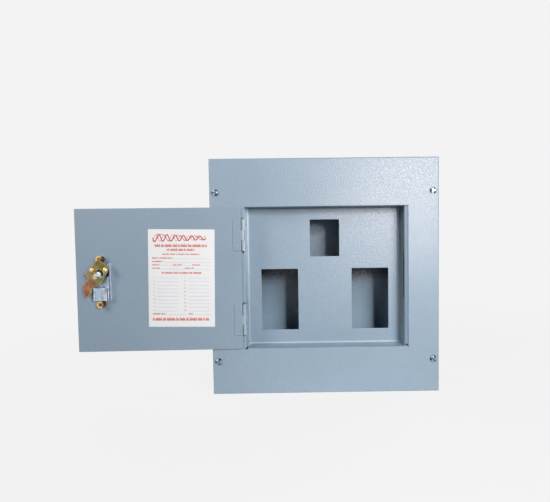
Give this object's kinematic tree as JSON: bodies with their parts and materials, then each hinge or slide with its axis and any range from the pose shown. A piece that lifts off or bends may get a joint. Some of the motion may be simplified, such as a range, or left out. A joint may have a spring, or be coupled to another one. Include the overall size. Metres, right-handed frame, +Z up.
{
  "type": "circuit breaker panel box",
  "caption": "Wall-mounted steel panel box with a screwed cover, a recessed dead front with three breaker windows and a hinged door with a quarter-turn latch.",
  "frame": {"origin": "centre of the box's back face, in the plane of the wall", "axes": "+X to the right as seen from the front, +Z up, the front faces -Y and the wall lies on the +Y side"},
  "size_m": [0.5786, 0.1222, 0.38],
  "materials": {
    "painted_steel": "textured grey-blue powder coat",
    "zinc": "bright zinc plate",
    "yellow_zinc": "yellow passivated zinc with a rainbow tint",
    "brass": "turned brass",
    "copper": "plain copper",
    "bar_aluminium": "extruded",
    "insulator": "moulded, matte",
    "card": "coated card with red print",
    "red_insert": "moulded"
  },
  "bodies": {
    "panel": {"enclosure_box": "painted_steel", "front_cover": "painted_steel", "dead_front_pan": "painted_steel", "upper_hinge_frame_leaf": "painted_steel", "lower_hinge_frame_leaf": "painted_steel", "upper_hinge_pin": "painted_steel", "lower_hinge_pin": "painted_steel", "hinge_rivets_frame": "painted_steel", "cover_screws": "zinc", "cover_nuts": "zinc", "base_screws": "zinc", "bus_screws": "zinc", "ground_bar_screws": "zinc", "bus_bar_left": "copper", "bus_bar_right": "copper", "ground_bar": "bar_aluminium", "bus_base": "insulator", "base_spacers": "insulator", "ground_bar_feet": "insulator"},
    "door": {"door": "painted_steel", "upper_hinge_door_leaf": "painted_steel", "lower_hinge_door_leaf": "painted_steel", "hinge_rivets_door": "painted_steel", "directory_card": "card", "latch_bracket": "zinc", "latch_block": "zinc", "latch_insert": "red_insert", "latch_studs": "zinc", "latch_nuts": "brass", "latch_barrel": "zinc", "latch_escutcheon": "zinc"},
    "latch": {"latch_spindle": "zinc", "latch_cam": "yellow_zinc", "latch_cam_screws": "brass", "latch_knob": "zinc"}
  },
  "joints": [
    {"name": "door_swing", "type": "hinge", "parent": "panel", "child": "door", "pos_m": [-0.13055, -0.10205, 0], "axis": [0, 0, 1], "range_deg": [0, 179]},
    {"name": "latch_turn", "type": "hinge", "parent": "door", "child": "latch", "pos_m": [-0.35317, -0.10594, 0.01], "axis": [-0.0175, 0.9998, 0], "range_deg": [0, 59]}
  ]
}
